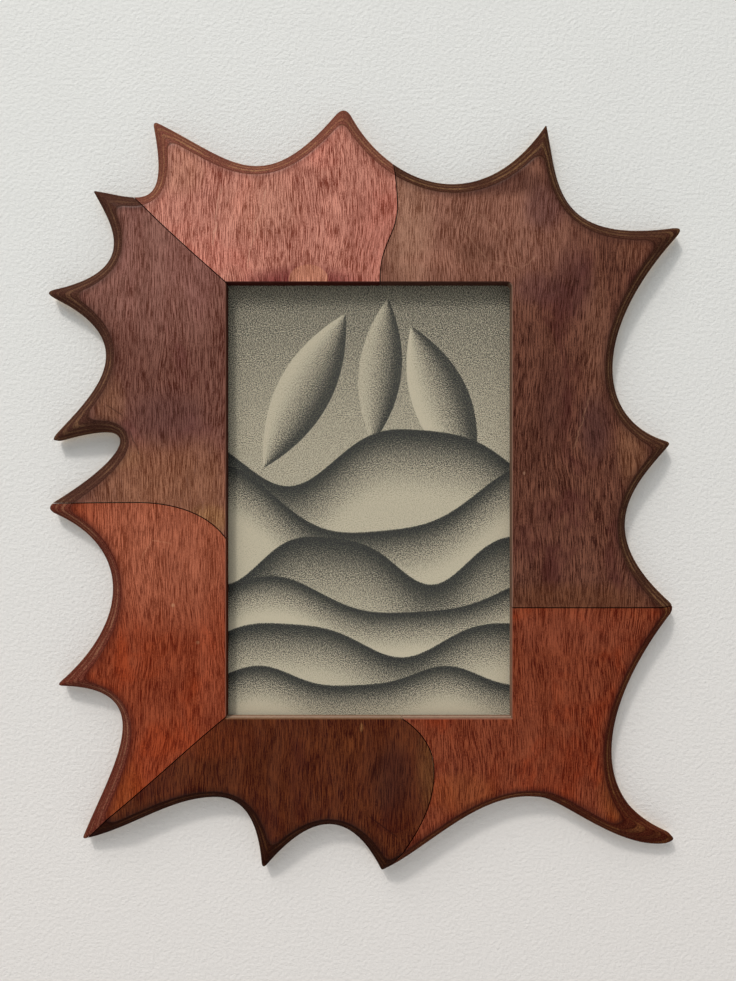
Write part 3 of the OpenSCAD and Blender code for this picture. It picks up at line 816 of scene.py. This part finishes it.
# Each dune: its height at the middle, swing, waves across the sheet, where the wave starts, the reach of
# its shading and the tone that it fades to
DUNES = (
    (34.0, 20.0, 1.05, 0.4, 50.0, 0.08),
    (-4.0, -24.0, 0.9, 1.5, 40.0, 0.04),
    (-40.0, 17.0, 1.35, 2.9, 50.0, 0.26),
    (-70.0, -13.0, 1.0, 0.7, 30.0, 0.0),
    (-98.0, 12.0, 1.2, 3.9, 38.0, 0.06),
    (-127.0, -7.0, 1.5, 2.2, 30.0, 0.0),
)


def graphite_drawing(paper, graphite):
    """A generic drawing of dunes and seed pods, shaded in graphite on cream paper."""
    g = Finish("graphite_drawing")
    x, _, z = g.place
    grain = g.noise(x * 1.7, 0, z * 1.35, 2, 0.7)
    coarse = g.noise(x * 0.5, 5, z * 0.5, 3, 0.7)
    hatch = g.noise(x * 0.9 + z * 0.35, 8, z * 0.12, 3, 0.7)
    tooth = (grain - 0.5) * 6.0 + (coarse - 0.5) * 0.7 + (hatch - 0.5) * 0.6
    tone = g.step(z, 20.0, 160.0, 0.26, 0.74)
    for (cx, cz), (long, wide), lean, pale in PODS:
        c, n = cos(radians(lean)), sin(radians(lean))
        along = ((x - cx) * c + (z - cz) * n) / long
        aside = ((z - cz) * c - (x - cx) * n) / wide
        width = (1.0 - along * along).most(0.0)
        inside = g.step(abs(aside) - width, 0.04, 0.0)
        shade = g.step(aside / width.most(0.05), -0.85, 0.9, 0.97, pale)
        rib = g.step(abs(aside + width * 0.28), 0.07, 0.01) * 0.5
        tone = tone + (shade.most(rib) - tone) * inside
    for middle, swing, waves, phase, reach, pale in DUNES:
        turn = x * (waves * pi / 100.0) + phase
        crest = turn.sine() * swing + (turn * 2.0 + 1.3).sine() * (0.22 * swing) + middle
        below = crest - z
        shade = g.step(below, 0.0, reach, 1.0, pale)
        tone = tone + (shade - tone) * g.step(below, -0.35, 0.35)
        tone = tone.most(g.step(abs(below), 0.9, 0.15) * 0.95)
    soft = (tone * (1.0 - tone)) * 4.0
    amount = (tone + tooth * (soft * 0.85 + 0.18)).most(0.0).least(1.0)
    sheet = g.mix(coarse * 0.35, paper, scaled(paper, 0.88))
    colour = g.mix(amount, sheet, graphite)
    return g.coat(colour, 0.85, (grain, 0.15, 0.0001), specular=0.15)


def matte_board(name, pale, dark, scale, roughness=0.8):
    """Card or hardboard: pressed fibres in two tones."""
    g = Finish(name)
    x, depth, z = g.place
    fibre = g.noise(x * scale, depth * scale, z * scale, 5, 0.7)
    blot = g.noise(x * 0.02, depth * 0.1, z * 0.02, 2)
    colour = g.mix(g.step(fibre * 0.7 + blot * 0.3, 0.38, 0.62), dark, pale)
    return g.coat(colour, roughness, (fibre, 0.25, 0.0002))


def plated_steel(name, bright, dulled):
    """Zinc plate: faint spangle, fine rubbing marks and duller patches."""
    g = Finish(name)
    x, depth, z = g.place
    sockets = {"Vector": g.vector(x, depth, z), "Scale": 0.55}
    spangle = g.add("TexVoronoi", sockets, output="Color")
    rubbed = g.noise(x * 6.0, depth * 2.0, z * 0.8, 3, 0.6)
    patch = g.noise(x * 0.15, depth * 0.3, z * 0.15)
    tone = g.add("RGBToBW", [spangle])
    colour = g.mix(g.step(patch * 0.6 + tone * 0.4, 0.3, 0.7), scaled(bright, dulled), bright)
    rough = g.step(rubbed * 0.5 + tone * 0.5, 0.2, 0.8, 0.28, 0.48)
    return g.coat(colour, rough, (rubbed, 0.12, 0.00005), metallic=1.0)


def soft_rubber():
    g = Finish("soft_rubber")
    x, depth, z = g.place
    fine = g.noise(x * 3.0, depth * 3.0, z * 3.0)
    dust = g.noise(x * 0.3, depth * 0.3, z * 0.3, 2)
    colour = g.mix(g.step(dust, 0.5, 0.75) * 0.35, (0.018, 0.018, 0.018), (0.09, 0.088, 0.082))
    return g.coat(colour, 0.72, (fine, 0.3, 0.0001))


def painted_wall(colour):
    """Matt wall paint with roller stipple, a painted warm tint of the light towards the bottom, and painted shade in
    the gap behind the frame.

    It isn't there for light and for eyes behind it.
    """
    g = Finish("painted_wall")
    x, _, z = g.place
    stipple = g.noise(x * 0.36, 0, z * 0.42, 3, 0.6)
    wide = g.noise(x * 0.02, 0, z * 0.02, 2)
    coat = g.mix(g.step(stipple * 0.7 + wide * 0.3, 0.35, 0.65), scaled(colour, 0.97), colour)
    # A painted warm tint of the light, stronger towards the bottom of the wall
    coat = g.mix(g.step(z, 250.0, -350.0), coat, scaled(colour, 1.022, 0.978, 0.972))
    # Painted shade: the wall is darkened where the frame's back closes it in
    open_air = g.add("AmbientOcclusion", {"Distance": 0.008}, output="AO", samples=6)
    coat = g.mix(g.step(open_air, 0.08, 0.62), scaled(colour, 0.2), coat)
    paint = g.surface(coat, 0.9, (stipple, 0.5, 0.0020), specular=0.1)
    behind = g.add("NewGeometry", output="Backfacing")
    shadow = g.add("LightPath", output="Is Shadow Ray")
    gone = g.add("BsdfTransparent")
    return g.show(g.add("MixShader", [behind.most(shadow), paint, gone]))


def pale_floor(colour):
    g = Finish("pale_floor")
    x, _, z = g.place
    fleck = g.noise(x * 0.01, 0, z * 0.01, 2)
    tone = g.mix(g.step(fleck, 0.3, 0.7), scaled(colour, 0.98), colour)
    return g.coat(tone, 0.8, specular=0.1)


# ---- settings


def real(name, description, default, low=0.0, high=1000.0, unit="NONE"):
    return bpy.props.FloatProperty(
        name=name, description=description, default=default, min=low, max=high, unit=unit, precision=5
    )


def tint(name, description, default):
    return bpy.props.FloatVectorProperty(
        name=name, description=description, default=default, subtype="COLOR", min=0.0, max=1.0
    )


def whole(name, description, default, low, high):
    return bpy.props.IntProperty(name=name, description=description, default=default, min=low, max=high)


length = partial(real, unit="LENGTH")
power = partial(real, unit="POWER")


class BoardSettings(bpy.types.PropertyGroup):
    thickness: length("Thickness", "Thickness of the plywood", 0.015, 0.012, 0.022)
    bevel_width: length("Bevel width", "Width of the bevel round the outline", 0.009, 0.007, 0.010)
    bevel_depth: length("Bevel depth", "Depth of the bevel", 0.009, 0.005, 0.011)
    bevel_belly: real("Bevel belly", "How much the bevel bellies out", 0.48, 0.0, 0.8)
    ridge_radius: length("Ridge radius", "Radius of the ridge that runs out to each spike", 0.005, 0.003, 0.006)
    face_aside: length("Face aside", "How far the flat face sits to the right of the outline", 0.0004, -0.001, 0.001)
    face_down: length("Face down", "How far the flat face sits below the outline", 0.0013, -0.0015, 0.0015)
    tip_wear: real("Tip wear", "Share of their wear that the spikes show", 1.0, 0.0, 1.1)
    sanded: real("Sanded", "Share of the bevel that sanding took off the outline", 0.004, 0.0, 0.05)
    joint_groove: length("Joint groove", "Width of the groove along each joint", 0.0008, 0.0, 0.001)
    rings: whole("Rings", "Rings across the bevel", 12, 4, 24)
    face_rings: whole("Face rings", "Rings between the bevel and the flat face", 3, 1, 6)
    fineness: whole("Fineness", "Steps along a scallop", 26, 8, 60)


class PictureSettings(bpy.types.PropertyGroup):
    paper: tint("Paper", "Colour of the picture's paper", (0.60, 0.535, 0.40))
    graphite: tint("Graphite", "Darkest tone of the picture", (0.026, 0.028, 0.027))


class HardwareSettings(bpy.types.PropertyGroup):
    steel: tint("Steel", "Colour of the plated steel", (0.72, 0.73, 0.74))
    screws: tint("Screws", "Colour of the screws", (0.74, 0.64, 0.38))
    easing: length("Easing", "Rounding of the stamped edges", 0.00018, 0.0, 0.0005)


class StageSettings(bpy.types.PropertyGroup):
    wall: tint("Wall", "Colour of the wall", (0.80, 0.80, 0.785))
    floor: tint("Floor", "Colour of the floor", (0.60, 0.59, 0.57))
    key: power("Key", "Power of the steep lamp", 139.0)
    fill: power("Fill", "Power of the broad lamp", 180.0)
    back: power("Back", "Power of the lamp behind", 42.0)
    sky: real("Sky", "Light from all round", 0.415, 0.0, 1.0)
    lens: real("Lens", "Focal length of the camera", 27.05, 1.0, unit="CAMERA")
    distance: length("Distance", "From the origin to the camera", 0.530, 0.3, 3.0)


# ---- operators


def opening_cutter(thick):
    """The sight opening with its arris in front and its rebate behind."""
    half_w, half_h = SIGHT_W / 2, SIGHT_H / 2
    corner = (SHARP_R, CORNER_R, SHARP_R, SHARP_R)
    ease = SIGHT_ARRIS + 1
    sight = rounded_rectangle(half_w, half_h, corner)
    wide = rounded_rectangle(half_w + REBATE_IN, half_h + REBATE_IN, (SHARP_R,) * 4)
    arris = rounded_rectangle(half_w + ease, half_h + ease, [r + ease for r in corner])
    rings = [(wide, -1), (wide, REBATE_DEEP), (sight, REBATE_DEEP), (sight, thick - SIGHT_ARRIS), (arris, thick + 1)]
    return terrace("opening_cutter", rings)


def recess_cutter(x):
    """A hanging plate's recess, and the pocket behind its keyhole."""
    plate = stadium(x, HANG_DROP - PLATE_BELOW, HANG_DROP + PLATE_ABOVE, PLATE_R)
    pocket = stadium(x, HANG_DROP, HANG_DROP + POCKET_ABOVE, POCKET_R)
    return terrace("recess_cutter", [(plate, -1), (plate, PLATE_DEEP), (pocket, PLATE_DEEP), (pocket, POCKET_DEEP)])


def joint_cutter(j, groove, thick):
    """The space of panel j: full at the back, and short of its joints by half the groove at the front."""
    lines = []
    for row, side in ((JOINTS[j], -1.0), (JOINTS[(j + 1) % len(JOINTS)], 1.0)):
        run = Run(row)
        steps = 20 * run.pieces
        lines.append([(run.at(k / steps), run.along(k / steps), side) for k in range(steps + 1)])
    first, last = (atan2(line[-1][0].y, line[-1][0].x) for line in lines)
    turns = [first + half_turn(last - first) * k / 6 for k in range(7)]
    arc = [BEYOND * Vector((cos(turn), sin(turn))) for turn in turns]

    def outline(gap):
        sides = [[p + Vector((-d.y, d.x)) * (gap * side) for p, d, side in line] for line in lines]
        return sides[0] + arc + sides[1][::-1]

    return terrace("joint_cutter", [(outline(OVERLAP), -2), (outline(groove / 2), thick + 2)])


def store_depths(panel, edge, front, reach):
    """Stores how far each point of the flat face lies from the face's edge, in millimetres."""
    tree = kdtree.KDTree(len(edge))
    for k, p in enumerate(edge):
        tree.insert((p.x * MM, 0.0, (p.y - HANG_DROP) * MM), k)
    tree.balance()
    depths = []
    for v in panel.data.vertices:
        near = tree.find((v.co.x, 0.0, v.co.z))[2]
        depths.append(min(near, reach) / MM if v.co.y < front else 0.0)
    panel.data.attributes.new("from_edge", "FLOAT", "POINT").data.foreach_set("value", depths)


class FRAME_OT_panels(bpy.types.Operator):
    """Build the six stained panels"""

    bl_idname = "sunburst.panels"
    bl_label = "Panels"

    def execute(self, context):
        board = context.scene.sunburst_board
        inset, ridge, thick = (size / MM for size in (board.bevel_width, board.ridge_radius, board.thickness))
        rim = Rim(inset, ridge, (board.face_aside / MM, -board.face_down / MM))
        places = rim.stations(board.fineness)
        flat_edge = [rim.inner(*place, inset) for place in places]
        further_in = [rim.inner(*place, inset + FLAT_AT * ridge) for place in places]
        loop = [rim.outline(*place, board.tip_wear).lerp(p, board.sanded) for place, p in zip(places, flat_edge)]
        edges = [(k, (k + 1) % len(loop)) for k in range(len(loop))]
        outline = new_mesh("outline", [(p.x * MM, p.y * MM, 0.0) for p in loop], edges)
        stored = {"flat_edge": flat_edge, "further_in": further_in}
        for name, points in stored.items():
            flat = [v for p in points for v in (p.x * MM, p.y * MM, 0.0)]
            outline.attributes.new(name, "FLOAT_VECTOR", "POINT").data.foreach_set("vector", flat)

        recipe = board_recipe()
        shared = opening_cutter(thick), recess_cutter(-PLATE_X), recess_cutter(PLATE_X)
        sizes = {name: getattr(board, name) for name in BOARD_SIZES}
        for j, (node, look) in enumerate(STAINS.items()):
            cutter = joint_cutter(j, board.joint_groove / MM, thick)
            material = stained_ply("stained_" + node, look)
            values = {**sizes, **dict(zip(CUTTERS, (cutter, *shared))), "Material": material}
            panel = recipe.apply(new_object("outline", outline), "stained_" + node, values)
            if len(panel.data.polygons) < FEWEST_FACES:
                raise RuntimeError(f"{node} came out of its tree with {len(panel.data.polygons)} faces")
            attributes = panel.data.attributes
            for name in stored:
                if name in attributes:
                    attributes.remove(attributes[name])
            store_depths(panel, flat_edge, 1e-6 - board.thickness, FLAT_AT * ridge * MM)
            soften(panel, 40)
            dress(panel, material, "frame", SLOTS[node], node)
            bpy.data.objects.remove(cutter)
        for spare in shared:
            bpy.data.objects.remove(spare)
        return {"FINISHED"}


class FRAME_OT_tenons(bpy.types.Operator):
    """Give the loose tenons their bare birch"""

    bl_idname = "sunburst.tenons"
    bl_label = "Tenons"

    def execute(self, context):
        birch = plain_birch()
        for node in frame["nodes"]:
            if node.startswith("tenon_"):
                finish_node(node, birch)
        return {"FINISHED"}


class FRAME_OT_picture(bpy.types.Operator):
    """Dress the glazing, the picture, the barrier card and the backing board"""

    bl_idname = "sunburst.picture"
    bl_label = "Picture pack"

    def execute(self, context):
        look = context.scene.sunburst_picture
        finish_node("glazing", clear_glass())
        finish_node("picture_sheet", graphite_drawing(tuple(look.paper), tuple(look.graphite)))
        finish_node("barrier_card", matte_board("barrier_card", (0.80, 0.79, 0.74), (0.74, 0.72, 0.66), 1.2))
        backing = bevel_copy("backing_board", "eased_backing_board", 0.2)
        hardboard = matte_board("hardboard", (0.27, 0.155, 0.085), (0.15, 0.080, 0.042), 0.45, 0.6)
        dress(backing, hardboard, "frame", "hardboard", "backing_board")
        return {"FINISHED"}


class FRAME_OT_turn_buttons(bpy.types.Operator):
    """Ease the stamped edges of the turn buttons and the hanging plates"""

    bl_idname = "sunburst.turn_buttons"
    bl_label = "Turn buttons"

    def execute(self, context):
        look = context.scene.sunburst_hardware
        steel = plated_steel("zinc_plate", tuple(look.steel), 0.72)
        for joint in frame["joints"]:
            body = joint["child"]
            button = bevel_copy("turn_" + body, "stamped_" + body, look.easing / MM)
            dress(button, steel, body, "plated_steel", "turn_" + body)
        for node in ("hanger_plate_left", "hanger_plate_right"):
            plate = bevel_copy(node, "stamped_" + node, look.easing / MM)
            dress(plate, steel, "frame", "plated_steel", node)
        return {"FINISHED"}


def turned_screw(name, profile):
    """A screw turned from its profile, with a cross in its head, that points out of the board's back."""
    bm = bmesh.new()
    verts = [bm.verts.new((r * MM, 0.0, z * MM)) for r, z in profile]
    edges = [bm.edges.new(pair) for pair in zip(verts, verts[1:])]
    bmesh.ops.spin(
        bm, geom=verts + edges, cent=(0, 0, 0), axis=(0, 0, 1), angle=2 * pi, steps=40, use_duplicate=False
    )
    bmesh.ops.remove_doubles(bm, verts=bm.verts, dist=1e-6)
    bmesh.ops.recalc_face_normals(bm, faces=bm.faces)
    screw = new_object(name, poured(bm, bpy.data.meshes.new(name)))
    for half in ((CROSS_ARM, CROSS_HALF), (CROSS_HALF, CROSS_ARM)):
        top = rounded_rectangle(*half, (0.1,) * 4, steps=2)
        foot = rounded_rectangle(*(0.55 * h if h == CROSS_ARM else h for h in half), (0.08,) * 4, steps=2)
        cross = terrace("cross", [(top, CROSS_TOP - 1.0), (top, CROSS_TOP), (foot, CROSS_TOP + 1.0)])
        cut = screw.modifiers.new("cross", "BOOLEAN")
        cut.operation = "DIFFERENCE"
        cut.object = cross
        cut.solver = "EXACT"
        screw = settle(screw, name)
        bpy.data.objects.remove(cross)
    for v in screw.data.vertices:
        v.co = Vector((v.co.x, -v.co.z, v.co.y))
    soften(screw, 35)
    return screw


class FRAME_OT_screws(bpy.types.Operator):
    """Put a screw in every turn button and in both hanging plates"""

    bl_idname = "sunburst.screws"
    bl_label = "Screws"

    def execute(self, context):
        look = context.scene.sunburst_hardware
        brass = plated_steel("yellow_zinc", tuple(look.screws), 0.7)
        scatter = scatter_recipe()
        pivots = [joint["pos_m"] for joint in frame["joints"]]
        pan_at = [(x / MM, z / MM + HANG_DROP, -BUTTON_T - BUTTON_GAPS - PAN_HEAD_T) for x, _, z in pivots]
        middle = HANG_DROP + (PLATE_ABOVE - PLATE_BELOW) / 2
        sunk_at = [(s * PLATE_X, middle + e * PLATE_SCREWS, 0.0) for s in (-1, 1) for e in (-1, 1)]
        for name, profile, at, node in (
            ("pan_head_screws", PAN_HEAD, pan_at, "turn_button_screws"),
            ("countersunk_screws", COUNTERSUNK, sunk_at, "hanger_screws"),
        ):
            one = turned_screw(name + "_one", profile)
            places = new_object(name + "_places", new_mesh(name + "_places", hung(at)))
            made = scatter.apply(places, name, {"Part": one, "Material": brass})
            bpy.data.objects.remove(one)
            dress(made, brass, "frame", "screw_steel", node)
        return {"FINISHED"}


class FRAME_OT_bumpers(bpy.types.Operator):
    """Put a domed rubber bumper at each place"""

    bl_idname = "sunburst.bumpers"
    bl_label = "Wall bumpers"

    def execute(self, context):
        bumpers = bevel_copy("wall_bumpers", "rubber_bumpers", 0.9, segments=4, degrees=50)
        dress(bumpers, soft_rubber(), "frame", "bumper_rubber", "wall_bumpers")
        return {"FINISHED"}


# The stage: the wall that the bumpers touch, the floor, and each lamp's name, setting, place, size and colour
WALL_Y, FLOOR_Z, WALL_TOP, WALL_HALF, FLOOR_HALF = 0.003, -1.5, 2, 3, 5
AIM = (0.0, -0.01, -0.19)
LAMPS = (
    ("steep_lamp", "key", (-1.96, -3.58, 4.55), 0.62, (1.0, 0.965, 0.915)),
    ("broad_lamp", "fill", (-2.05, -3.75, 4.75), 4.60, (1.0, 0.985, 0.96)),
    ("lamp_behind", "back", (0.9, 1.7, 0.9), 0.8, (1.0, 1.0, 1.0)),
)
CAMERA_X, CAMERA_Z = -0.0007, -0.1831


def placed(name, data, where):
    obj = new_object(name, data)
    obj.location = where
    return obj


class FRAME_OT_stage(bpy.types.Operator):
    """Set up the wall, the floor, the lamps and the camera"""

    bl_idname = "sunburst.stage"
    bl_label = "Stage"

    def execute(self, context):
        scene = context.scene
        stage = scene.sunburst_stage
        w, f = WALL_HALF, FLOOR_HALF
        upright = [(-w, WALL_Y, FLOOR_Z), (w, WALL_Y, FLOOR_Z), (w, WALL_Y, WALL_TOP), (-w, WALL_Y, WALL_TOP)]
        level = [(-f, -f, FLOOR_Z), (f, -f, FLOOR_Z), (f, f, FLOOR_Z), (-f, f, FLOOR_Z)]
        for name, points, paint in (
            ("wall", upright, painted_wall(tuple(stage.wall))),
            ("floor", level, pale_floor(tuple(stage.floor))),
        ):
            mesh = new_mesh(name, points, faces=[(0, 1, 2, 3)])
            mesh.materials.append(paint)
            new_object(name, mesh)

        for name, setting, where, size, colour in LAMPS:
            data = bpy.data.lights.new(name, "AREA")
            data.shape = "DISK"
            data.color = colour
            data.size = size
            data.energy = getattr(stage, setting)
            turn = (Vector(AIM) - Vector(where)).to_track_quat("-Z", "Y")
            placed(name, data, where).rotation_euler = turn.to_euler()

        world = bpy.data.worlds.new("soft_room")
        scene.world = world
        world.use_nodes = True
        g = Graph(world.node_tree)
        g.tree.nodes.clear()
        seen = g.add("LightPath", output="Is Camera Ray")
        soft = g.add("Background", [(0.93, 0.98, 1.0, 1.0), stage.sky])
        pale = g.add("Background", [(0.86, 0.86, 0.85, 1.0), 1.0])
        g.add("OutputWorld", {"Surface": g.add("MixShader", [seen, soft, pale])})

        data = bpy.data.cameras.new("camera")
        data.lens = stage.lens
        data.sensor_width = 36.0
        data.clip_start = 0.01
        scene.camera = placed("camera", data, (CAMERA_X, -stage.distance, CAMERA_Z))
        scene.camera.rotation_euler = (pi / 2, 0.0, 0.0)
        scene.view_settings.view_transform = "Standard"
        return {"FINISHED"}


OPERATORS = (
    FRAME_OT_stage,
    FRAME_OT_panels,
    FRAME_OT_tenons,
    FRAME_OT_picture,
    FRAME_OT_turn_buttons,
    FRAME_OT_screws,
    FRAME_OT_bumpers,
)
SETTINGS = {
    "sunburst_board": BoardSettings,
    "sunburst_picture": PictureSettings,
    "sunburst_hardware": HardwareSettings,
    "sunburst_stage": StageSettings,
}


class FRAME_PT_sidebar(bpy.types.Panel):
    """Lists the pieces and their sizes"""

    bl_idname = "FRAME_PT_sidebar"
    bl_label = "Sunburst picture frame"
    bl_space_type = "VIEW_3D"
    bl_region_type = "UI"
    bl_category = "Frame"

    def draw(self, context):
        for key, group in SETTINGS.items():
            box = self.layout.box()
            for name in group.__annotations__:
                box.prop(getattr(context.scene, key), name)
        for operator in OPERATORS:
            self.layout.operator(operator.bl_idname)


def register():
    for one in (*SETTINGS.values(), *OPERATORS, FRAME_PT_sidebar):
        bpy.utils.register_class(one)
    for key, group in SETTINGS.items():
        setattr(bpy.types.Scene, key, bpy.props.PointerProperty(type=group))


def unregister():
    for key in SETTINGS:
        delattr(bpy.types.Scene, key)
    for one in (FRAME_PT_sidebar, *reversed(OPERATORS), *SETTINGS.values()):
        bpy.utils.unregister_class(one)


def main():
    register()
    for operator in OPERATORS:
        family, name = operator.bl_idname.split(".")
        getattr(getattr(bpy.ops, family), name)()


if __name__ == "__main__":
    main()
